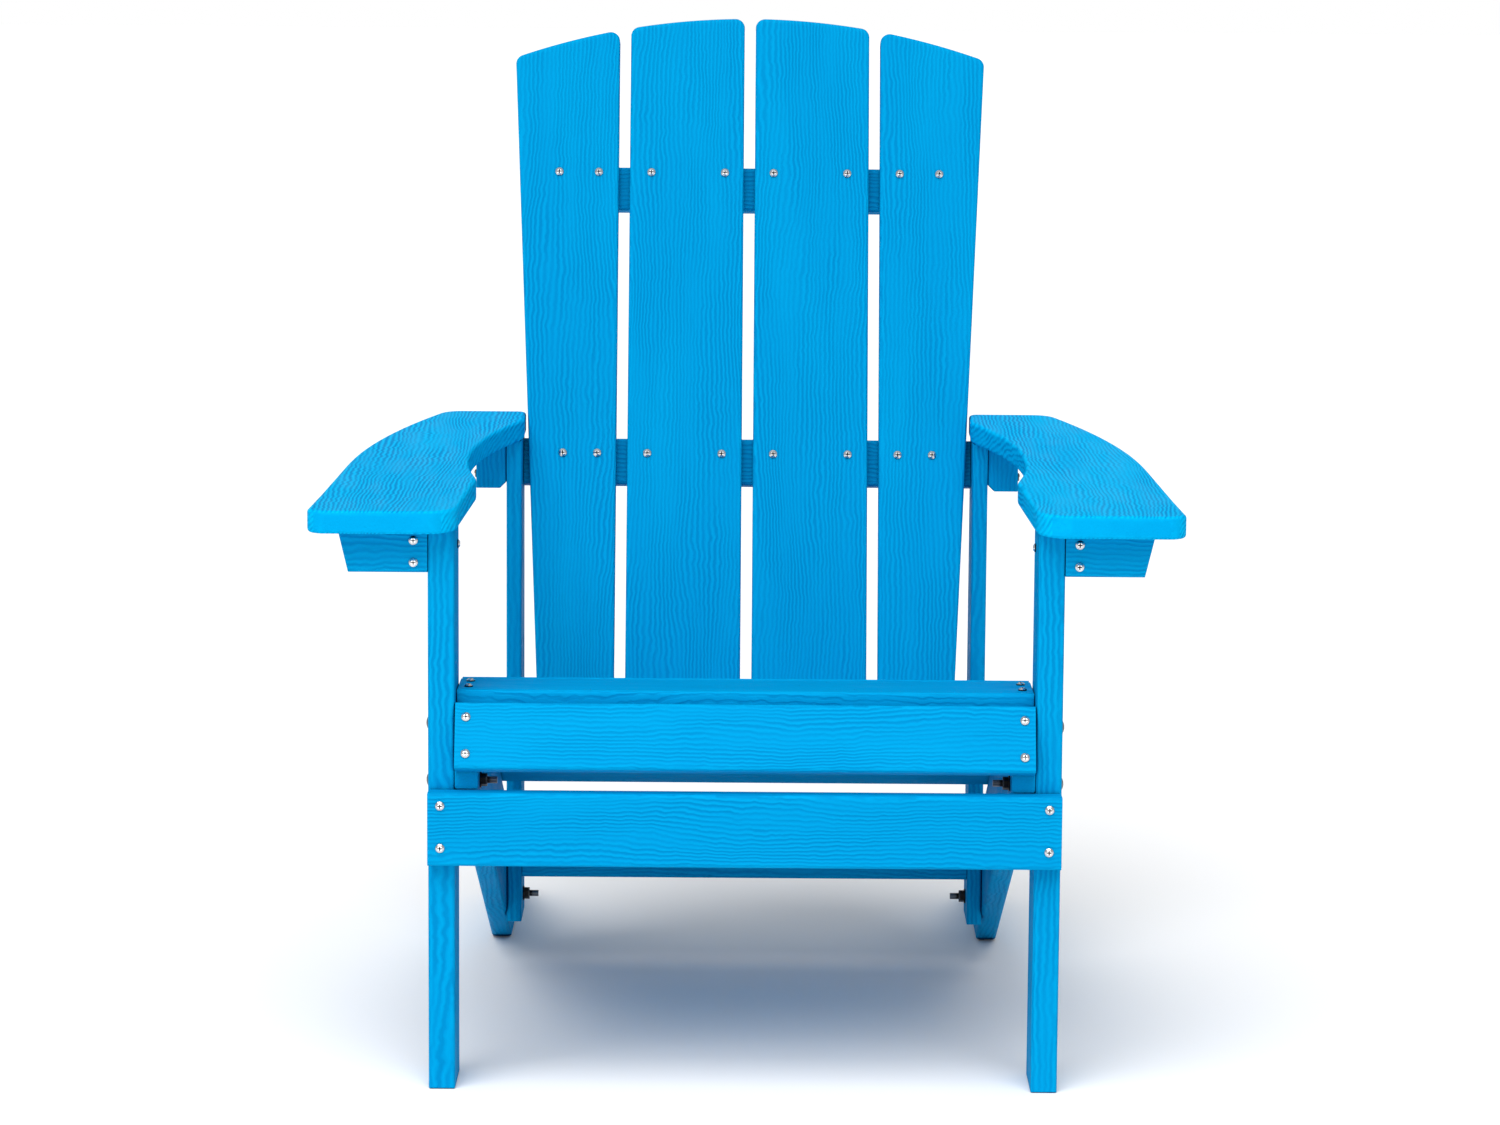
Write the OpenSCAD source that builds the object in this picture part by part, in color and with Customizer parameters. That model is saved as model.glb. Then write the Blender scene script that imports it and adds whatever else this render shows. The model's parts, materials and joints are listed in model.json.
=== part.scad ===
// Adirondack garden chair: sloping slatted seat, fanned slat back and wide curved arms.
// Millimetres. Z is up, the sitter faces -Y, and the chair stands on z = 0.

/* [Arms] */
// Width across the widest points of the two arms
arm_span = 748; // [736:1:760]
// Height of the arm tops above the floor, at the front legs
arm_top_z = 511; // [505:1:520]
// Rise of the arms towards the back, in degrees
arm_rise = 1.95; // [1.5:0.05:2.2]
// Thickness of each arm board
arm_t = 20; // [18:1:22]
// Depth of the waist along the inner edge of each arm
arm_waist = 15; // [8:1:18]

/* [Frame] */
// Thickness of the front legs
leg_t = 23; // [20:1:25]
// Front to back width of the front legs
leg_w = 66; // [60:1:70]
// Thickness of the sloping seat rails
rail_t = 20; // [18:1:22]
// Thickness of the rear posts
post_t = 14.5; // [13:0.5:16]
// Height of the front apron board
apron_h = 64; // [56:1:66]

/* [Seat] */
// Width of the hidden seat slats
slat_w = 66; // [60:1:66]
// Thickness of the seat slats behind the front one
slat_t = 14; // [13:0.5:15]

/* [Back] */
// Height of the middle of the arched back above the floor
back_top_z = 906; // [880:1:930]
// Width of the two middle back slats
inner_slat_w = 110; // [107:0.5:111]
// Backward lean of the back slats from upright, in degrees
back_lean = 14; // [13.4:0.1:14.6]

/* [Hidden] */
$fn = 48;

// The whole chair is centred front to back on its bounding box
front_y = -30;
tail_y = 790;
mid_y = (front_y + tail_y) / 2;

// Colours
plastic = [0.0, 0.62, 0.88];
steel = [0.75, 0.76, 0.78];

// Fastener sizes
screw_d = 4;
screw_hole_d = 4.3;
screw_head_d = 7.6;
screw_head_h = 2.4;
screw_long = 42;
front_slat_screw = 32;
screw_short = 32;
front_arm_screw = 52;
rear_arm_screw = 58;
brace_end_screw = 74;
bolt_d = 6;
bolt_hole_d = 6.4;
bolt_head_d = 14;
bolt_head_h = 3.4;
bolt_stick_out = 15;
washer_d = 14;
washer_t = 1.4;
nut_across_corners = 11.5;
nut_t = 5;

// Side frames, measured outwards from the middle of the chair
leg_in = 250;
leg_out = leg_in + leg_t;
rail_in = leg_in - rail_t;
post_in = rail_in - post_t;
arm_z = arm_top_z - arm_t;
edge_r = 3;

// Sloping seat rails
rail_slope = 23.9;
rail_fall = tan(rail_slope);
rail_low_z = 265;
knee_y = 101.5;
knee_z = 332.8;
rail_lip_z = 282;
seat_tip = 0.8;
function rail_top(y) = knee_z - rail_fall * (y - knee_y);

// Front seat slat
front_slat_lean = 20;
front_slat_w = 58;
front_slat_t = 20;
front_slat_y = -19;
front_slat_z = 286.5;
slat_half = leg_in - 0.5;
slat_gap = 6.2;
knee_gap = 0.5;
second_slat_y = 22;
seat_screw_x = leg_in - rail_t / 2;

// Rear posts
post_y = 489;
post_back_y = 555;
post_foot_z = 39;
bolt_post_y = 523;

// Leaning back
back_y = 443;
back_z = 207;
back_t = 20;
brace_t = 20;
brace_w = 42;
arm_brace_w = 44.5;
slat_foot = -15.5;
lower_brace_s = -15;
back_len = (back_top_z - back_z) / cos(back_lean);
arch_r = 672;
arch_corner_r = 9;
back_gap = 10.7;
inner_edge = back_gap / 2 + inner_slat_w;
outer_in = inner_edge + back_gap;
outer_top_x = 226.4;
outer_foot_x = 195.9;
upper_brace_s = 535.2;
arm_brace_s = 267.7;
upper_screw_s = 568.7;
arm_screw_s = 295.5;
lower_screw_s = lower_brace_s + brace_w / 2;
upper_brace_half = 205;

// Apron and cross pieces
apron_z = 201;
apron_t = 20;
stretcher_z = 82;
stretcher_y = 494;

// Arm brackets
bracket_t = 20;
bracket_z = arm_z - 38;
bracket_top_x = 350;
bracket_low_x = 341;
cleat_w = 24;
rear_bracket_w = 29;
rear_bracket_z = 462;
rear_bracket_cut = 6;

// ---------- shared shapes ----------

module right_side() {
  translate([0, -mid_y, 0]) children();
}

module left_side() {
  mirror([1, 0, 0]) right_side() children();
}

module both_sides() {
  right_side() children();
  left_side() children();
}

// Board standing along +Z, width along X and thickness along +Y, long edges rounded
module plank(length, width, thick) {
  linear_extrude(height = length)
    translate([0, thick / 2])
      rounded_bar(width, thick);
}

module rounded_bar(width, thick) {
  square([width - 2 * edge_r, thick], center = true);
  square([width, thick - 2 * edge_r], center = true);
  for (x = [-1, 1], y = [-1, 1])
    translate([x * (width / 2 - edge_r), y * (thick / 2 - edge_r)])
      circle(r = edge_r);
}

// Board lying along X, centred, width along +Z and thickness along +Y
module cross_plank(half, width, thick) {
  translate([-half, 0, width / 2])
    rotate([0, 90, 0])
      plank(2 * half, width, thick);
}

// Shape drawn in (y, z) and made solid along +X
module side_cut(thick) {
  rotate([90, 0, 90]) linear_extrude(height = thick) children();
}

// Frame of the leaning back: x across, y into the back, z up along the slats
module back_frame() {
  translate([0, back_y, back_z]) rotate([-back_lean, 0, 0]) children();
}

// Frame of the front slat: z up along its face, y into the board
module front_slat_frame() {
  translate([0, front_slat_y, front_slat_z]) rotate([-front_slat_lean, 0, 0]) children();
}

// Frame of a seat slat lying on the rails: y down the seat, z out of its top
module seat_frame(n) {
  if (n == 2) {
    translate([0, knee_y, knee_z]) rotate([-seat_tip, 0, 0])
      translate([0, second_slat_y - knee_y, 0]) children();
  } else {
    translate([0, knee_y, knee_z]) rotate([-rail_slope, 0, 0])
      translate([0, knee_gap + (n - 3) * (slat_w + slat_gap), 0]) children();
  }
}

// Frame of the arms, which rise towards the back: z = 0 on their underside
module arm_frame() {
  translate([0, 0, arm_z]) rotate([arm_rise, 0, 0]) children();
}

module above_arm() {
  arm_frame() translate([100, -60, 0]) cube([300, 700, 80]);
}

// Pan-head screw with its head's underside at z = 0, pointing down
module pan_screw(length) {
  difference() {
    union() {
      cylinder(h = screw_head_h * 0.45, d = screw_head_d);
      translate([0, 0, screw_head_h * 0.45])
        cylinder(h = screw_head_h * 0.55, d1 = screw_head_d, d2 = screw_head_d * 0.55);
    }
    for (a = [0, 90])
      rotate([0, 0, a])
        translate([-2, -0.5, screw_head_h - 1.2]) cube([4, 1, 2]);
  }
  translate([0, 0, -length]) cylinder(h = length, d = screw_d);
}

module screw_hole(length) {
  translate([0, 0, -length]) cylinder(h = length + 5, d = screw_hole_d);
}

// Places children with +Z pointing at the given side, for screws and their holes
module facing_front() {
  rotate([90, 0, 0]) children();
}

module facing_in() {
  rotate([0, -90, 0]) children();
}

module facing_out() {
  rotate([0, 90, 0]) children();
}

// ---------- fastener positions (right-hand side or whole chair) ----------

module at_back_screws(row) {
  for (x = row_x(row), side = [-1, 1])
    back_frame() translate([side * x, 0, row_height(row)]) facing_front() children();
}

function row_x(row) =
  row == 2 ? [23.5, 94.5, 145.2, 183.3] :
  row == 1 ? [24.7, 96.2, 144.2, 177.2] : [25, 97, 143, 173];
function row_height(row) =
  row == 2 ? upper_screw_s :
  row == 1 ? arm_screw_s : lower_screw_s;

module at_front_slat_screws() {
  for (z = [13, 45])
    front_slat_frame() translate([seat_screw_x, 0, z]) facing_front() children();
}

module at_seat_screws() {
  for (n = [2:7])
    seat_frame(n)
      for (y = [slat_w * 0.27, slat_w * 0.73])
        translate([seat_screw_x, y, slat_t]) children();
}

module at_apron_screws() {
  for (z = [16, apron_h - 11])
    translate([leg_in + leg_t / 2, -apron_t, apron_z + z]) facing_front() children();
}

module at_bracket_screws() {
  for (z = [9, 28])
    translate([leg_out + cleat_w / 2, 0, bracket_z + z]) facing_front() children();
}

module at_cleat_screw() {
  translate([leg_in, bracket_t + 25, bracket_z + 19]) facing_in() children();
}

module at_rear_bracket_screws() {
  for (z = [13, 35])
    translate([rail_in + rear_bracket_w, post_y + 11, rear_bracket_z + z]) facing_out() children();
}

module at_front_arm_screw() {
  translate([leg_out + cleat_w / 2, bracket_t + 36, bracket_z]) rotate([180, 0, 0]) children();
}

module at_rear_arm_screw() {
  translate([rail_in + rear_bracket_w * 0.6, post_y + 31, rear_bracket_z])
    rotate([180, 0, 0]) children();
}

module at_post_brace_screws() {
  back_frame()
    for (z = [14, arm_brace_w - 13])
      translate([rail_in + rear_bracket_w, back_t + brace_t / 2, arm_brace_s + z])
        facing_out() children();
}

module at_lower_brace_screw() {
  back_frame()
    translate([rail_in - post_t / 2, back_t, lower_screw_s + 10]) facing_front() children();
}

module at_stretcher_screws() {
  for (z = [11, brace_w - 11])
    translate([leg_in, stretcher_y + brace_t / 2, stretcher_z + z]) facing_out() children();
}

module at_leg_bolts() {
  for (z = [267, 317])
    translate([leg_out, leg_w / 2, z]) facing_out() children();
}

module at_post_bolts() {
  for (z = [60, 112])
    translate([leg_in, bolt_post_y, z]) facing_out() children();
}

module bolt_hole() {
  translate([0, 0, -80]) cylinder(h = 90, d = bolt_hole_d);
}

// ---------- side frames ----------

module leg() {
  difference() {
    translate([leg_out, leg_w / 2, 0]) rotate([0, 0, 90]) plank(arm_z + 8, leg_w, leg_t);
    above_arm();
    at_leg_bolts() bolt_hole();
    at_apron_screws() screw_hole(screw_long);
    at_cleat_screw() screw_hole(screw_long);
  }
}

module seat_rail() {
  front_top_y = second_slat_y - 2;
  difference() {
    translate([rail_in, 0, 0])
      side_cut(rail_t)
        polygon([
          [0, rail_low_z],
          [0, rail_lip_z],
          [front_top_y, knee_z + (knee_y - front_top_y) * tan(seat_tip)],
          [knee_y, knee_z],
          [tail_y, rail_top(tail_y)],
          [tail_y, 0],
          [rail_low_z / rail_fall, 0]
        ]);
    front_slat_frame() translate([rail_in - 1, 0, -5]) cube([rail_t + 2, front_slat_t, front_slat_w + 10]);
    at_leg_bolts() bolt_hole();
    at_post_bolts() bolt_hole();
    at_front_slat_screws() screw_hole(front_slat_screw);
    at_seat_screws() screw_hole(screw_long);
    at_stretcher_screws() screw_hole(70);
  }
}

module rear_post() {
  difference() {
    translate([rail_in, (post_y + post_back_y) / 2, post_foot_z])
      rotate([0, 0, 90]) plank(arm_z + 40 - post_foot_z, post_back_y - post_y, post_t);
    above_arm();
    at_post_bolts() bolt_hole();
    at_stretcher_screws() screw_hole(70);
    at_rear_bracket_screws() screw_hole(screw_long);
    at_post_brace_screws() screw_hole(brace_end_screw);
    at_lower_brace_screw() screw_hole(screw_long);
  }
}

// ---------- arms ----------

arm_out = arm_span / 2;
arm_back_y = 550;
arm_arc_y = 220;
arm_taper = 0.0572;
arm_arc_d = 2185;
arm_front_in = 247;
arm_heel_x = 239.2;
arm_heel_y = 147;
arm_step_y = 195;
arm_waist_y = 275;
arm_waist_d = 1220;
arm_back_in = 213.5;
function arm_outer(y) =
  arm_out - arm_taper * (y - front_y) - (y > arm_arc_y ? pow(y - arm_arc_y, 2) / arm_arc_d : 0);
function arm_inner(y) =
  max(arm_back_in, 245.7 + arm_waist * 0.45 - pow(y - arm_waist_y, 2) / arm_waist_d);
function corner(cx, cy, r, from, to) =
  [for (i = [0:8]) [cx + r * cos(from + (to - from) * i / 8), cy + r * sin(from + (to - from) * i / 8)]];

module arm_plan() {
  r_in = 28;
  r_out = 14;
  r_back = 22;
  turn = atan(arm_taper + 2 * (arm_back_y - r_back - arm_arc_y) / arm_arc_d);
  edge_y = arm_back_y - r_back + r_back * sin(turn);
  polygon(concat(
    corner(arm_front_in + r_in, front_y + r_in, r_in, 180, 270),
    corner(arm_out - r_out, front_y + r_out, r_out, 270, 360),
    [for (y = [60:25:edge_y - 8]) [arm_outer(y), y]],
    corner(arm_outer(edge_y) - r_back * cos(turn), arm_back_y - r_back, r_back, turn, 90),
    corner(arm_back_in + 8, arm_back_y - 8, 8, 90, 180),
    [for (y = [arm_back_y - 20:-15:arm_step_y]) [arm_inner(y), y]],
    [[arm_heel_x + 0.4, arm_heel_y + 5], [arm_heel_x, arm_heel_y - 5]]
  ));
}

module arm() {
  difference() {
    arm_frame() linear_extrude(height = arm_t) arm_plan();
    at_front_arm_screw() screw_hole(front_arm_screw);
    at_rear_arm_screw() screw_hole(rear_arm_screw);
  }
}

module front_arm_bracket() {
  difference() {
    translate([0, bracket_t, 0])
      rotate([90, 0, 0])
        linear_extrude(height = bracket_t)
          polygon([
            [leg_out, bracket_z],
            [bracket_low_x, bracket_z],
            [bracket_top_x + 1, arm_z + 4],
            [leg_out, arm_z + 4]
          ]);
    above_arm();
    at_bracket_screws() screw_hole(screw_long);
  }
}

module front_arm_cleat() {
  difference() {
    translate([leg_out, bracket_t, bracket_z])
      cube([cleat_w, leg_w - bracket_t, arm_z + 6 - bracket_z]);
    above_arm();
    at_bracket_screws() screw_hole(screw_long);
    at_cleat_screw() screw_hole(screw_long);
    at_front_arm_screw() screw_hole(60);
  }
}

module rear_arm_bracket() {
  difference() {
    translate([0, post_back_y - 6, 0])
      rotate([90, 0, 0])
        linear_extrude(height = post_back_y - post_y - 8)
          polygon([
            [rail_in + rear_bracket_cut, rear_bracket_z],
            [rail_in + rear_bracket_w, rear_bracket_z],
            [rail_in + rear_bracket_w, arm_z + 30],
            [rail_in, arm_z + 30],
            [rail_in, rear_bracket_z + rear_bracket_cut]
          ]);
    above_arm();
    at_rear_bracket_screws() screw_hole(screw_long);
    at_post_brace_screws() screw_hole(brace_end_screw);
    at_rear_arm_screw() screw_hole(rear_arm_screw);
  }
}

// ---------- seat ----------

module apron() {
  difference() {
    translate([0, -apron_t, apron_z]) cross_plank(leg_out - 0.5, apron_h, apron_t);
    for (m = [0, 1]) mirror([m, 0, 0]) at_apron_screws() screw_hole(screw_long);
  }
}

module front_slat() {
  difference() {
    front_slat_frame() cross_plank(slat_half, front_slat_w, front_slat_t);
    for (m = [0, 1]) mirror([m, 0, 0]) at_front_slat_screws() screw_hole(front_slat_screw);
  }
}

module seat_slat(n) {
  difference() {
    seat_frame(n)
      translate([-slat_half, slat_w / 2, 0])
        rotate([0, 90, 0]) rotate([0, 0, 90])
          plank(2 * slat_half, slat_w, slat_t);
    for (m = [0, 1]) mirror([m, 0, 0]) at_seat_screws() screw_hole(screw_long);
  }
}

// ---------- back ----------

arch_z = back_len - arch_r;
function arch(x) = arch_z + sqrt(arch_r * arch_r - x * x);
function fillet_z(cx) = arch_z + sqrt(pow(arch_r - arch_corner_r, 2) - cx * cx);
function fillet(cx, side) =
  let (cz = fillet_z(cx), lean = atan2(cx, cz - arch_z))
  side > 0 ? corner(cx, cz, arch_corner_r, 0, 90 - lean)
           : corner(cx, cz, arch_corner_r, 90 - lean, 180);
function arch_run(x1, x2) =
  [for (i = [1:11]) let (x = x1 + (x2 - x1) * i / 12) [x, arch(x)]];

module back_slat_shape(foot_in, foot_out, top_in, top_out) {
  right = top_out - arch_corner_r;
  left = top_in + arch_corner_r;
  polygon(concat(
    [[foot_in, slat_foot], [foot_out, slat_foot]],
    fillet(right, 1),
    arch_run(right, left),
    fillet(left, -1)
  ));
}

module back_slat(foot_in, foot_out, top_in, top_out) {
  difference() {
    back_frame()
      translate([0, back_t, 0]) rotate([90, 0, 0])
        linear_extrude(height = back_t)
          back_slat_shape(foot_in, foot_out, top_in, top_out);
    for (row = [0:2]) at_back_screws(row) screw_hole(screw_short);
  }
}

module upper_brace() {
  difference() {
    back_frame() translate([0, back_t, upper_brace_s]) cross_plank(upper_brace_half, brace_w, brace_t);
    at_back_screws(2) screw_hole(screw_short);
  }
}

module arm_brace() {
  difference() {
    back_frame() translate([0, back_t, arm_brace_s]) cross_plank(post_in, arm_brace_w, brace_t);
    at_back_screws(1) screw_hole(screw_short);
    for (m = [0, 1]) mirror([m, 0, 0]) at_post_brace_screws() screw_hole(brace_end_screw);
  }
}

module lower_brace() {
  difference() {
    back_frame() translate([0, back_t, lower_brace_s]) cross_plank(rail_in, brace_w, brace_t);
    at_back_screws(0) screw_hole(screw_short);
    for (m = [0, 1]) mirror([m, 0, 0]) at_lower_brace_screw() screw_hole(screw_long);
  }
}

module stretcher() {
  difference() {
    translate([0, stretcher_y, stretcher_z]) cross_plank(post_in, brace_w, brace_t);
    for (m = [0, 1]) mirror([m, 0, 0]) at_stretcher_screws() screw_hole(70);
  }
}

// ---------- bolts ----------

module carriage_bolt(grip) {
  intersection() {
    translate([0, 0, bolt_head_h - bolt_head_d * 0.75]) sphere(d = bolt_head_d * 1.5);
    cylinder(h = bolt_head_h, d = bolt_head_d);
  }
  translate([0, 0, -grip - bolt_stick_out]) cylinder(h = grip + bolt_stick_out, d = bolt_d);
}

module nut() {
  difference() {
    cylinder(h = nut_t, d = nut_across_corners, $fn = 6);
    translate([0, 0, -1]) cylinder(h = nut_t + 2, d = bolt_hole_d);
  }
}

module washer() {
  difference() {
    cylinder(h = washer_t, d = washer_d);
    translate([0, 0, -1]) cylinder(h = washer_t + 2, d = bolt_hole_d);
  }
}

leg_grip = leg_t + rail_t;
post_grip = rail_t + post_t;

// ---------- sub-parts ----------

module front_leg_left() { color(plastic) left_side() leg(); }
module front_leg_right() { color(plastic) right_side() leg(); }
module seat_rail_left() { color(plastic) left_side() seat_rail(); }
module seat_rail_right() { color(plastic) right_side() seat_rail(); }
module rear_post_left() { color(plastic) left_side() rear_post(); }
module rear_post_right() { color(plastic) right_side() rear_post(); }
module arm_left() { color(plastic) left_side() arm(); }
module arm_right() { color(plastic) right_side() arm(); }
module front_arm_bracket_left() { color(plastic) left_side() front_arm_bracket(); }
module front_arm_bracket_right() { color(plastic) right_side() front_arm_bracket(); }
module front_arm_cleat_left() { color(plastic) left_side() front_arm_cleat(); }
module front_arm_cleat_right() { color(plastic) right_side() front_arm_cleat(); }
module rear_arm_bracket_left() { color(plastic) left_side() rear_arm_bracket(); }
module rear_arm_bracket_right() { color(plastic) right_side() rear_arm_bracket(); }
module front_apron() { color(plastic) right_side() apron(); }
module seat_slat_front() { color(plastic) right_side() front_slat(); }
module seat_slat_2() { color(plastic) right_side() seat_slat(2); }
module seat_slat_3() { color(plastic) right_side() seat_slat(3); }
module seat_slat_4() { color(plastic) right_side() seat_slat(4); }
module seat_slat_5() { color(plastic) right_side() seat_slat(5); }
module seat_slat_6() { color(plastic) right_side() seat_slat(6); }
module seat_slat_7() { color(plastic) right_side() seat_slat(7); }

module back_slat_1() {
  color(plastic) right_side() back_slat(-outer_foot_x, -outer_in, -outer_top_x, -outer_in);
}

module back_slat_2() {
  color(plastic) right_side() back_slat(-inner_edge, -back_gap / 2, -inner_edge, -back_gap / 2);
}

module back_slat_3() {
  color(plastic) right_side() back_slat(back_gap / 2, inner_edge, back_gap / 2, inner_edge);
}

module back_slat_4() {
  color(plastic) right_side() back_slat(outer_in, outer_foot_x, outer_in, outer_top_x);
}

module upper_back_brace() { color(plastic) right_side() upper_brace(); }
module arm_level_brace() { color(plastic) right_side() arm_brace(); }
module lower_back_brace() { color(plastic) right_side() lower_brace(); }
module rear_stretcher() { color(plastic) right_side() stretcher(); }

module upper_back_screws() { color(steel) right_side() at_back_screws(2) pan_screw(screw_short); }
module arm_level_back_screws() { color(steel) right_side() at_back_screws(1) pan_screw(screw_short); }
module lower_back_screws() { color(steel) right_side() at_back_screws(0) pan_screw(screw_short); }
module seat_front_screws() { color(steel) both_sides() at_front_slat_screws() pan_screw(front_slat_screw); }
module seat_slat_screws() { color(steel) both_sides() at_seat_screws() pan_screw(screw_short); }
module apron_screws() { color(steel) both_sides() at_apron_screws() pan_screw(screw_long); }
module bracket_face_screws() { color(steel) both_sides() at_bracket_screws() pan_screw(screw_short); }
module leg_cleat_screws() { color(steel) both_sides() at_cleat_screw() pan_screw(screw_short); }
module rear_bracket_screws() { color(steel) both_sides() at_rear_bracket_screws() pan_screw(screw_long); }

module arm_fixing_screws() {
  color(steel) both_sides() {
    at_front_arm_screw() pan_screw(front_arm_screw);
    at_rear_arm_screw() pan_screw(rear_arm_screw);
  }
}

module post_brace_screws() { color(steel) both_sides() at_post_brace_screws() pan_screw(brace_end_screw); }
module lower_brace_screws() { color(steel) both_sides() at_lower_brace_screw() pan_screw(screw_long); }
module stretcher_screws() { color(steel) both_sides() at_stretcher_screws() pan_screw(60); }

module carriage_bolts() {
  color(steel) both_sides() {
    at_leg_bolts() carriage_bolt(leg_grip);
    at_post_bolts() carriage_bolt(post_grip);
  }
}

module bolt_washers() {
  color(steel) both_sides() {
    at_leg_bolts() translate([0, 0, -leg_grip - washer_t]) washer();
    at_post_bolts() translate([0, 0, -post_grip - washer_t]) washer();
  }
}

module bolt_nuts() {
  color(steel) both_sides() {
    at_leg_bolts() translate([0, 0, -leg_grip - washer_t - nut_t]) nut();
    at_post_bolts() translate([0, 0, -post_grip - washer_t - nut_t]) nut();
  }
}

front_leg_left();
front_leg_right();
seat_rail_left();
seat_rail_right();
rear_post_left();
rear_post_right();
arm_left();
arm_right();
front_arm_bracket_left();
front_arm_bracket_right();
front_arm_cleat_left();
front_arm_cleat_right();
rear_arm_bracket_left();
rear_arm_bracket_right();
front_apron();
seat_slat_front();
seat_slat_2();
seat_slat_3();
seat_slat_4();
seat_slat_5();
seat_slat_6();
seat_slat_7();
back_slat_1();
back_slat_2();
back_slat_3();
back_slat_4();
upper_back_brace();
arm_level_brace();
lower_back_brace();
rear_stretcher();
upper_back_screws();
arm_level_back_screws();
lower_back_screws();
seat_front_screws();
seat_slat_screws();
apron_screws();
bracket_face_screws();
leg_cleat_screws();
rear_bracket_screws();
arm_fixing_screws();
post_brace_screws();
lower_brace_screws();
stretcher_screws();
carriage_bolts();
bolt_washers();
bolt_nuts();
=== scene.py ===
import json
import math

import bmesh
import bpy
from mathutils import Matrix, Vector


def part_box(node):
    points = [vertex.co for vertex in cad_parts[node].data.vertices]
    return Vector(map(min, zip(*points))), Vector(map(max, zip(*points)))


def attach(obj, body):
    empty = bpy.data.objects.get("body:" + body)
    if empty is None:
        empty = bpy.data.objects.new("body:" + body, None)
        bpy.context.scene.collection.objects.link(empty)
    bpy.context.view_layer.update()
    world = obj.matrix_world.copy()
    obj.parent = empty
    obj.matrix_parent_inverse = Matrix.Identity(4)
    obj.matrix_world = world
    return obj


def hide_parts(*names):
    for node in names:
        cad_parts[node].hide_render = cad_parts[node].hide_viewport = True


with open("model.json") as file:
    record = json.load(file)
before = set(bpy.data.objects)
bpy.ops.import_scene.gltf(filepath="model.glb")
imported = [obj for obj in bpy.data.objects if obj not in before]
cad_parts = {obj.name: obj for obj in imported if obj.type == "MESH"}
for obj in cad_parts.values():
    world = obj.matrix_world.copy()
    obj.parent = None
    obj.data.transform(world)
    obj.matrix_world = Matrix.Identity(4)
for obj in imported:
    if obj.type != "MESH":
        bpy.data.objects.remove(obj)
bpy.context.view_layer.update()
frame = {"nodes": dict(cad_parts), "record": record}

RECORD_SLOT = {part["node"]: part["material_slot"] for part in frame["record"]["subparts"]}

# Angles of the chair, in degrees
BACK_LEAN = 14.0
ARM_RISE = 1.95
RAIL_SLOPE = 23.9
FRONT_SLAT_LEAN = 20.0
SEAT_TIP = 0.8

# Radius of the boards' long edges, in metres, and the share of it that sawn ends have
LONG_EDGE = 0.003
SAWN_EDGE = 0.25

# Width of the band inside an edge that is lightened, partly as scuffed wear and partly as painted edge
# highlight, and of the narrowest face that has one, in metres
WEAR_AND_HIGHLIGHT_BAND = 0.0025
WIDE_FACE = 0.008

# Where the arms and the back slats start to be routed, in metres from their front or lower end
ARM_ROUTED_FROM = -0.01
BACK_ROUTED_FROM = 0.05

# Edges that fold by less than this, in degrees, aren't rounded
SLIGHT_FOLD = 25

# Sine of the largest bend, and the largest distance in metres, that still count as flat
STRAIGHT = 2e-4
FLAT = 2e-5

# Height of a board's top end that is fitted to the arm above it, in metres
FITTED_TOP = 0.006

# Embossed grain, in metres: its pitch, how far its lines wander and waver, and its depth
GRAIN_PITCH = 0.0040
GRAIN_WANDER = 0.04
GRAIN_WAVER = 0.005
GRAIN_DEPTH = 0.0005

# Depth of the marks that turning leaves on steel, in metres
TURNING_DEPTH = 0.00004

# How far off, in metres, a surface still paints shade into a seam between boards, and onto a fastener
SEAM_SHADE_REACH = 0.007
FASTENER_SHADE_REACH = 0.008

# Gloss of the plastic and of the floor
PLASTIC_IOR = 1.3
PLASTIC_SPECULAR = 0.02
FLOOR_SPECULAR = 0.1
FLOOR_ROUGHNESS = 0.9

# Colours, linear
BOARD_COLOUR = (0.0, 0.262, 0.56, 1)
BOARD_DARK_TONE_AND_SHADE = (0.0, 0.16, 0.40, 1)
BOARD_LIGHT_TONE_AND_HIGHLIGHT = (0.0, 0.32, 0.63, 1)
ARM_COLOUR = (0.0, 0.355, 0.70, 1)
ARM_DARK_TONE_AND_SHADE = (0.0, 0.20, 0.50, 1)
ARM_LIGHT_TONE_AND_HIGHLIGHT = (0.0, 0.46, 0.82, 1)
SEAM_SHADE_COLOUR = (0.0, 0.03, 0.12, 1)
SCREW_COLOUR = (0.86, 0.87, 0.89, 1)
SCREW_CLOUD = (0.66, 0.67, 0.69, 1)
SCREW_SHADE = (0.015, 0.02, 0.025, 1)
BOLT_COLOUR = (0.16, 0.17, 0.18, 1)
BOLT_CLOUD = (0.09, 0.09, 0.10, 1)
BOLT_SHADE = (0.02, 0.02, 0.02, 1)
FLOOR_COLOUR = (0.93, 0.93, 0.93, 1)

# Strength of the world as a light, and as the white background that the camera sees
WORLD_LIGHT = 0.48
WORLD_SEEN = 1.0

# The floor reaches this far each way, in metres, and lies just below the chair's feet
FLOOR_REACH = 25
FLOOR_TOP = -0.0005

# Camera: place in metres, look down, turn and roll in degrees, lens in mm
CAMERA_PLACE = (0, -4.4591, 1.0634)
LOOK_DOWN = 8.36
CAMERA_TURN = -0.0417
CAMERA_ROLL = 0.419
LENS = 115.7

# What the front soft box is aimed at
CHAIR_MIDDLE = Vector((0.0, 0.0, 0.4))

# Directions that boards run in and face
ACROSS = Vector((1, 0, 0))
UP = Vector((0, 0, 1))
FRONT = Vector((0, -1, 0))


def tilted(degrees):
    """The direction that +Y turns to when its far end drops by this angle, and the way up from it."""
    turn = Matrix.Rotation(-math.radians(degrees), 3, "X")
    return turn @ Vector((0, 1, 0)), turn @ UP


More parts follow.
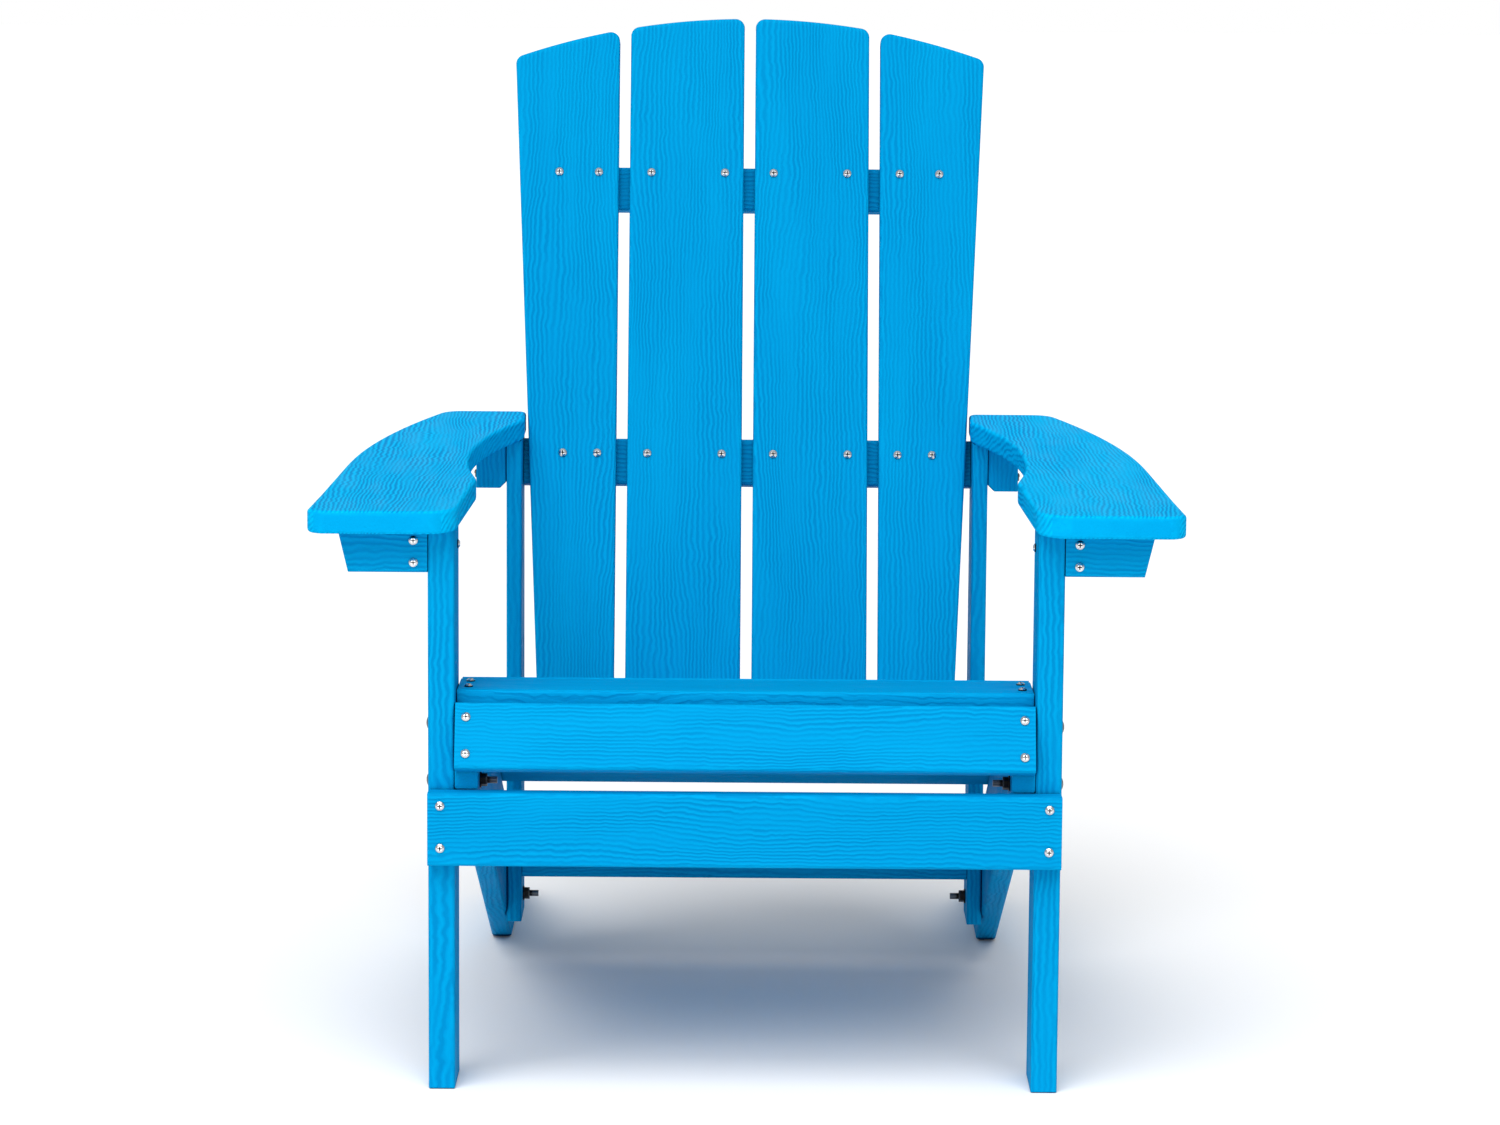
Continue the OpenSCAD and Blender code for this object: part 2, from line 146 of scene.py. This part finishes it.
RAIL_ALONG, RAIL_UP = tilted(RAIL_SLOPE)
ARM_ALONG, ARM_UP = tilted(-ARM_RISE)
BACK_FACE, BACK_ALONG = tilted(BACK_LEAN)
SECOND_SLAT_UP = tilted(SEAT_TIP)[1]
FRONT_SLAT_FACE = tilted(FRONT_SLAT_LEAN)[0]


# ---------- boards ----------

def board_axes(grain, face):
    """Turns board coordinates (along the grain, across it, out of the face) into the chair's."""
    along = grain.normalized()
    out = face.normalized()
    return Matrix((along, out.cross(along), out)).transposed()


def cad_points(node, turn):
    """A CAD node's triangles as corner points in board coordinates."""
    cad = frame["nodes"][node]
    to_board = turn.transposed() @ cad.matrix_world.to_3x3()
    points = [to_board @ vertex.co for vertex in cad.data.vertices]
    return [[points[i] for i in face.vertices] for face in cad.data.polygons]


def limits(triangles):
    """The lowest and the highest coordinates among these corner points."""
    corners = [point for triangle in triangles for point in triangle]
    low = Vector([min(point[i] for point in corners) for i in range(3)])
    high = Vector([max(point[i] for point in corners) for i in range(3)])
    return low, high


def loop_area(loop):
    """Area inside a loop of points, below zero if it runs clockwise."""
    return 0.5 * sum(a[0] * b[1] - b[0] * a[1] for a, b in zip(loop, loop[1:] + loop[:1]))


def without_straight_points(loop):
    kept = []
    for before, point, after in zip(loop[-1:] + loop[:-1], loop, loop[1:] + loop[:1]):
        a = Vector(point) - Vector(before)
        b = Vector(after) - Vector(point)
        if abs(a.cross(b)) > STRAIGHT * a.length * b.length:
            kept.append(point)
    return kept


def face_outline(triangles, level):
    """The outer edge of the flat face at this level, counter-clockwise, without its holes."""
    following = {}
    for triangle in triangles:
        if max(abs(point.z - level) for point in triangle) > FLAT:
            continue
        keys = [(round(point.x, 5), round(point.y, 5)) for point in triangle]
        if loop_area(keys) < 0:
            keys.reverse()
        for a, b in zip(keys, keys[1:] + keys[:1]):
            if a == b:
                continue
            if a in following.get(b, set()):
                following[b].discard(a)
            else:
                following.setdefault(a, set()).add(b)
    loops = []
    while any(following.values()):
        start = next(a for a, after in following.items() if after)
        loop, here = [], start
        while following.get(here):
            loop.append(here)
            here = following[here].pop()
            if here == start:
                break
        loops.append(loop)
    return without_straight_points(max(loops, key=lambda loop: abs(loop_area(loop))))


def box_outline(low, high):
    return [(low.x, low.y), (high.x, low.y), (high.x, high.y), (low.x, high.y)]


def set_edge_roundness(shape, routed_from):
    """How much of LONG_EDGE each edge is rounded by: long and routed edges fully, sawn ends a little."""
    weight = shape.edges.layers.float.new("bevel_weight_edge")
    for edge in shape.edges:
        run = edge.verts[1].co - edge.verts[0].co
        if edge.calc_face_angle(0) < math.radians(SLIGHT_FOLD):
            edge[weight] = 0
        elif abs(run.z) > 0.9 * run.length:
            edge[weight] = SAWN_EDGE
        elif abs(run.x) > 0.7 * run.length:
            edge[weight] = 1
        elif max(vert.co.x for vert in edge.verts) > routed_from:
            edge[weight] = 1
        else:
            edge[weight] = SAWN_EDGE


def mark_surface(mesh):
    """Stores what the material needs at each place of a board: its own coordinates as grain, a mask that
    is 1 on the edges and 0 a narrow band inside them, for scuffed wear and painted edge highlight, and
    end on the sawn ends."""
    shape = bmesh.new()
    shape.from_mesh(mesh)
    big = [face for face in shape.faces if 2 * face.calc_area() > WIDE_FACE * face.calc_perimeter()]
    bmesh.ops.inset_individual(shape, faces=big, thickness=WEAR_AND_HIGHLIGHT_BAND, use_even_offset=True)
    grain = shape.verts.layers.float_vector.new("grain")
    edge_wear_and_highlight = shape.verts.layers.float.new("edge_wear_and_highlight")
    end = shape.faces.layers.float.new("end")
    for vert in shape.verts:
        vert[grain] = vert.co
        normals = [face.normal for face in vert.link_faces]
        flat = all(normal.dot(normals[0]) > 0.999 for normal in normals)
        vert[edge_wear_and_highlight] = 0.0 if flat else 1.0
    for face in shape.faces:
        face.smooth = True
        face[end] = 1.0 if abs(face.normal.x) > 0.8 else 0.0
    shape.to_mesh(mesh)
    shape.free()


def rounded(piece):
    """Rounds the board's edges for good, as the planer and router did."""
    bevel = piece.modifiers.new("edges", "BEVEL")
    bevel.limit_method = "WEIGHT"
    bevel.width = LONG_EDGE
    bevel.segments = 3
    bevel.use_clamp_overlap = False
    bpy.context.view_layer.update()
    ready = piece.evaluated_get(bpy.context.evaluated_depsgraph_get())
    mesh = bpy.data.meshes.new_from_object(ready)
    piece.modifiers.remove(bevel)
    piece.data = mesh


def arm_underside(y):
    """Height of the arms' underside at this y."""
    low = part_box("arm_right")[0]
    return low.z + (y - low.y) * math.tan(math.radians(ARM_RISE))


def fit_under_arm(mesh, turn, top):
    """Moves a board's top end onto the sloping underside of the arm."""
    back = turn.transposed()
    for vertex in mesh.vertices:
        place = turn @ vertex.co
        if place.z > top - FITTED_TOP:
            place.z += arm_underside(place.y) - top
            vertex.co = back @ place


def board(node, grain, face, shaped=False, routed_from=None, under_arm=False):
    """A board on a CAD node's place: its outline, made solid across its thickness.

    Without routed_from only its long edges are rounded fully. With it, so are the edges of its
    rim that reach further than this many metres from its front or lower end.
    """
    turn = board_axes(grain, face)
    triangles = cad_points(node, turn)
    low, high = limits(triangles)
    outline = face_outline(triangles, high.z) if shaped else box_outline(low, high)
    shape = bmesh.new()
    bottom = [shape.verts.new((x, y, low.z)) for x, y in outline]
    top = [shape.verts.new((x, y, high.z)) for x, y in outline]
    shape.faces.new(list(reversed(bottom)))
    shape.faces.new(top)
    for i in range(len(outline)):
        j = (i + 1) % len(outline)
        shape.faces.new((bottom[i], bottom[j], top[j], top[i]))
    bmesh.ops.recalc_face_normals(shape, faces=shape.faces)
    set_edge_roundness(shape, math.inf if routed_from is None else low.x + routed_from)
    mesh = bpy.data.meshes.new(node + "_board")
    shape.to_mesh(mesh)
    shape.free()
    piece = bpy.data.objects.new(node + "_board", mesh)
    bpy.context.scene.collection.objects.link(piece)
    rounded(piece)
    if under_arm:
        heights = [(turn @ vertex.co).z for vertex in piece.data.vertices]
        fit_under_arm(piece.data, turn, max(heights))
    mark_surface(piece.data)
    piece.data.transform(turn.to_4x4())
    smooth = piece.modifiers.new("smooth", "WEIGHTED_NORMAL")
    smooth.keep_sharp = False
    piece.data.materials.clear()
    piece.data.materials.append(arm_wood if node.startswith("arm_") and shaped else plastic_wood)
    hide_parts(node)
    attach(piece, "root")


# ---------- materials ----------

class Surface:
    """A material whose nodes are added one call at a time."""

    def __init__(self, name):
        self.material = bpy.data.materials.new(name)
        self.material.use_nodes = True
        self.tree = self.material.node_tree
        self.shader = self.tree.nodes["Principled BSDF"]

    def add(self, kind, settings=None, **inputs):
        """Adds a node. Inputs are given by name, or by number as i0, i1 and so on."""
        node = self.tree.nodes.new(kind)
        for name, value in (settings or {}).items():
            setattr(node, name, value)
        for name, value in inputs.items():
            self.give(node, name, value)
        return node

    def give(self, node, name, value):
        key = int(name[1:]) if name[0] == "i" and name[1:].isdigit() else name
        socket = node.inputs[key]
        if isinstance(value, bpy.types.NodeSocket):
            self.tree.links.new(value, socket)
        else:
            socket.default_value = value

    def math(self, operation, a, b=0.0):
        return self.add("ShaderNodeMath", {"operation": operation}, i0=a, i1=b).outputs[0]

    def noise(self, place, scale, detail=2.0):
        scaled = self.add("ShaderNodeVectorMath", {"operation": "MULTIPLY"}, i0=place, i1=scale)
        node = self.add("ShaderNodeTexNoise", Vector=scaled.outputs[0], Scale=1.0, Detail=detail)
        return node.outputs["Fac"]

    def between(self, value, low, high, out_low=0.0, out_high=1.0):
        """Goes smoothly from out_low to out_high as the value goes from low to high."""
        node = self.add("ShaderNodeMapRange", {"interpolation_type": "SMOOTHSTEP"})
        for i, number in enumerate((value, low, high, out_low, out_high)):
            self.give(node, "i%d" % i, number)
        return node.outputs[0]

    def mix(self, amount, a, b):
        node = self.add("ShaderNodeMix", {"data_type": "RGBA"}, i0=amount, i6=a, i7=b)
        return node.outputs[2]

    def bump(self, height, distance, strength):
        node = self.add("ShaderNodeBump", Strength=strength, Distance=distance, Height=height)
        return node.outputs[0]


def make_plastic_wood(name, base, dark, light, emboss):
    """Solid-coloured plastic lumber with a wavy embossed grain along the board, its grooves darkened by
    painted shade and its ridges lightened by painted highlight.
    """
    s = Surface(name)
    at = s.add("ShaderNodeAttribute", {"attribute_name": "grain"}).outputs["Vector"]
    end = s.add("ShaderNodeAttribute", {"attribute_name": "end"}).outputs["Fac"]
    parts = s.add("ShaderNodeSeparateXYZ", None, i0=at)
    across = s.math("ADD", parts.outputs[1], s.math("MULTIPLY", parts.outputs[2], 0.7))
    slow = s.math("SUBTRACT", s.noise(at, (3.5, 12, 12)), 0.5)
    quick = s.math("SUBTRACT", s.noise(at, (70, 50, 50)), 0.5)
    bent = s.math("ADD", across, s.math("MULTIPLY", slow, GRAIN_WANDER))
    bent = s.math("ADD", bent, s.math("MULTIPLY", quick, GRAIN_WAVER))
    wave = s.math("SINE", s.math("MULTIPLY", bent, 2 * math.pi / GRAIN_PITCH))
    presence = s.between(s.noise(at, (9, 60, 60)), 0.35, 0.6, 0.45, 1.0)
    groove = s.math("MULTIPLY", s.between(wave, -0.2, 0.95), presence)
    ridge = s.math("MULTIPLY", s.between(wave, -0.3, -0.95), presence)
    not_end = s.math("SUBTRACT", 1.0, end)
    groove = s.math("MULTIPLY", groove, not_end)
    ridge = s.math("MULTIPLY", ridge, not_end)
    fibre = s.noise(at, (40, 900, 900), 3.0)
    pores = s.noise(at, (700, 700, 700), 3.0)
    rough_end = s.math("MULTIPLY", s.math("SUBTRACT", pores, 0.5), end)
    cloud = s.noise(at, (4, 18, 18), 3.0)

    # Painted shade in the grain's grooves and painted highlight on its ridges
    shade = s.mix(s.math("MULTIPLY", groove, emboss), base, dark)
    shade = s.mix(s.math("MULTIPLY", ridge, emboss), shade, light)
    shade = s.mix(s.between(fibre, 0.5, 0.75, 0.0, 0.16), shade, dark)
    shade = s.mix(s.between(cloud, 0.45, 0.7, 0.0, 0.3), shade, light)
    # Edges lighter: partly scuffed wear, partly painted edge highlight
    edge_wear_and_highlight = s.add("ShaderNodeAttribute", {"attribute_name": "edge_wear_and_highlight"})
    scuffs = s.between(s.noise(at, (60, 160, 160), 3.0), 0.4, 0.7, 0.15, 1.0)
    wear_and_highlight_amount = s.math("MULTIPLY", s.math("POWER", edge_wear_and_highlight.outputs["Fac"], 2.0), scuffs)
    shade = s.mix(s.math("MULTIPLY", wear_and_highlight_amount, 0.5), shade, light)
    shade = s.mix(s.math("MULTIPLY", end, 0.25), shade, dark)
    # Painted shade: darker in seams and inner corners, where other surfaces come near
    shelter = s.add("ShaderNodeAmbientOcclusion", {"samples": 6}, Distance=SEAM_SHADE_REACH)
    shade = s.mix(s.between(shelter.outputs["AO"], 0.2, 0.6, 0.9, 0.0), shade, SEAM_SHADE_COLOUR)

    height = s.math("SUBTRACT", s.math("MULTIPLY", fibre, 0.35), groove)
    height = s.math("ADD", height, s.math("MULTIPLY", rough_end, 1.6))
    s.give(s.shader, "Base Color", shade)
    s.give(s.shader, "Normal", s.bump(height, GRAIN_DEPTH, 0.6))
    s.give(s.shader, "Roughness", s.between(s.noise(at, (12, 50, 50)), 0.3, 0.7, 0.42, 0.6))
    s.shader.inputs["Specular IOR Level"].default_value = PLASTIC_SPECULAR
    s.shader.inputs["IOR"].default_value = PLASTIC_IOR
    return s.material


def make_metal(name, colour, cloud_colour, painted_shade, roughness):
    """Steel with fine turning marks, a faint cloudiness and painted shade where it is sheltered."""
    s = Surface(name)
    at = s.add("ShaderNodeTexCoord").outputs["Object"]
    marks = s.noise(at, (900, 900, 900), 4.0)
    cloud = s.noise(at, (160, 160, 160))
    shade = s.mix(s.between(cloud, 0.45, 0.75, 0.0, 0.6), colour, cloud_colour)
    # Painted shade: darker in the head's recess and round its rim, where it meets the wood
    shelter = s.add("ShaderNodeAmbientOcclusion", {"samples": 16}, Distance=FASTENER_SHADE_REACH)
    shade = s.mix(s.between(shelter.outputs["AO"], 0.89, 0.97, 1.0, 0.0), shade, painted_shade)
    s.give(s.shader, "Base Color", shade)
    s.give(s.shader, "Roughness", s.between(marks, 0.3, 0.7, roughness - 0.06, roughness + 0.1))
    s.give(s.shader, "Normal", s.bump(marks, TURNING_DEPTH, 0.3))
    s.shader.inputs["Metallic"].default_value = 1.0
    return s.material


plastic_wood = make_plastic_wood("plastic_wood", BOARD_COLOUR, BOARD_DARK_TONE_AND_SHADE, BOARD_LIGHT_TONE_AND_HIGHLIGHT, 0.5)
arm_wood = make_plastic_wood("arm_plastic_wood", ARM_COLOUR, ARM_DARK_TONE_AND_SHADE, ARM_LIGHT_TONE_AND_HIGHLIGHT, 0.8)
screw_steel = make_metal("screw_steel", SCREW_COLOUR, SCREW_CLOUD, SCREW_SHADE, 0.22)
bolt_steel = make_metal("bolt_steel", BOLT_COLOUR, BOLT_CLOUD, BOLT_SHADE, 0.42)


# ---------- the chair ----------

def side_frames():
    for side in ("left", "right"):
        board("front_leg_" + side, UP, ACROSS, under_arm=True)
        board("rear_post_" + side, UP, ACROSS, under_arm=True)
        board("seat_rail_" + side, RAIL_ALONG, ACROSS, shaped=True)
        board("arm_" + side, ARM_ALONG, ARM_UP, shaped=True, routed_from=ARM_ROUTED_FROM)
        board("front_arm_bracket_" + side, ACROSS, FRONT, shaped=True, under_arm=True)
        board("front_arm_cleat_" + side, UP, ACROSS, under_arm=True)
        board("rear_arm_bracket_" + side, UP, FRONT, shaped=True, under_arm=True)


def seat():
    board("front_apron", ACROSS, FRONT)
    board("seat_slat_front", ACROSS, -FRONT_SLAT_FACE)
    board("seat_slat_2", ACROSS, SECOND_SLAT_UP)
    for number in range(3, 8):
        board("seat_slat_%d" % number, ACROSS, RAIL_UP)


def back():
    for number in range(1, 5):
        board("back_slat_%d" % number, BACK_ALONG, -BACK_FACE, shaped=True, routed_from=BACK_ROUTED_FROM)
    for name in ("upper_back_brace", "arm_level_brace", "lower_back_brace"):
        board(name, ACROSS, BACK_FACE)
    board("rear_stretcher", ACROSS, FRONT)


def fasteners():
    """Gives the CAD screws, bolts, washers and nuts their steel."""
    for name, slot in RECORD_SLOT.items():
        if slot not in ("screw_steel", "bolt_steel"):
            continue
        mesh = frame["nodes"][name].data
        mesh.materials.clear()
        mesh.materials.append(screw_steel if slot == "screw_steel" else bolt_steel)


# ---------- studio ----------

def floor():
    shape = bmesh.new()
    bmesh.ops.create_grid(shape, x_segments=8, y_segments=8, size=FLOOR_REACH)
    mesh = bpy.data.meshes.new("floor")
    shape.to_mesh(mesh)
    shape.free()
    ground = bpy.data.objects.new("floor", mesh)
    bpy.context.scene.collection.objects.link(ground)
    ground.location.z = FLOOR_TOP
    s = Surface("floor")
    s.shader.inputs["Base Color"].default_value = FLOOR_COLOUR
    s.shader.inputs["Roughness"].default_value = FLOOR_ROUGHNESS
    s.shader.inputs["Specular IOR Level"].default_value = FLOOR_SPECULAR
    mesh.materials.append(s.material)


def place_light(name, data, place, target):
    """Puts a light at place, shining on the target."""
    light = bpy.data.objects.new(name, data)
    light.location = place
    light.rotation_euler = (Vector(place) - target).to_track_quat("Z", "Y").to_euler()
    bpy.context.scene.collection.objects.link(light)


def soft_light(name, place, strength, spread):
    """Light from a wide bank of soft boxes in the direction of place."""
    data = bpy.data.lights.new(name, "SUN")
    data.energy = strength
    data.angle = math.radians(spread)
    place_light(name, data, place, Vector())


def near_light(name, place, power, size):
    """Soft box at place, aimed at the middle of the chair."""
    data = bpy.data.lights.new(name, "AREA")
    data.energy = power
    data.size = size
    place_light(name, data, place, CHAIR_MIDDLE)


def studio():
    floor()
    world = bpy.data.worlds.new("studio")
    world.use_nodes = True
    tree = world.node_tree
    background = tree.nodes["Background"]
    background.inputs["Color"].default_value = (1, 1, 1, 1)
    seen = tree.nodes.new("ShaderNodeLightPath").outputs["Is Camera Ray"]
    strength = tree.nodes.new("ShaderNodeMapRange")
    strength.inputs["To Min"].default_value = WORLD_LIGHT
    strength.inputs["To Max"].default_value = WORLD_SEEN
    tree.links.new(seen, strength.inputs["Value"])
    tree.links.new(strength.outputs[0], background.inputs["Strength"])
    bpy.context.scene.world = world
    bpy.context.scene.view_settings.view_transform = "Standard"
    soft_light("overhead", (-0.3, -1.4, 2.1), 2.9, 56)
    near_light("front", (-0.2, -1.5, 0.45), 2.8, 0.9)


def camera():
    data = bpy.data.cameras.new("camera")
    data.sensor_width = 36
    data.lens = LENS
    data.clip_end = 60
    eye = bpy.data.objects.new("camera", data)
    aim = Matrix.Rotation(math.radians(CAMERA_TURN), 4, "Z")
    aim = aim @ Matrix.Rotation(math.radians(90 - LOOK_DOWN), 4, "X")
    aim = aim @ Matrix.Rotation(math.radians(CAMERA_ROLL), 4, "Z")
    eye.matrix_world = Matrix.Translation(CAMERA_PLACE) @ aim
    bpy.context.scene.collection.objects.link(eye)
    bpy.context.scene.camera = eye


side_frames()
seat()
back()
fasteners()
studio()
camera()
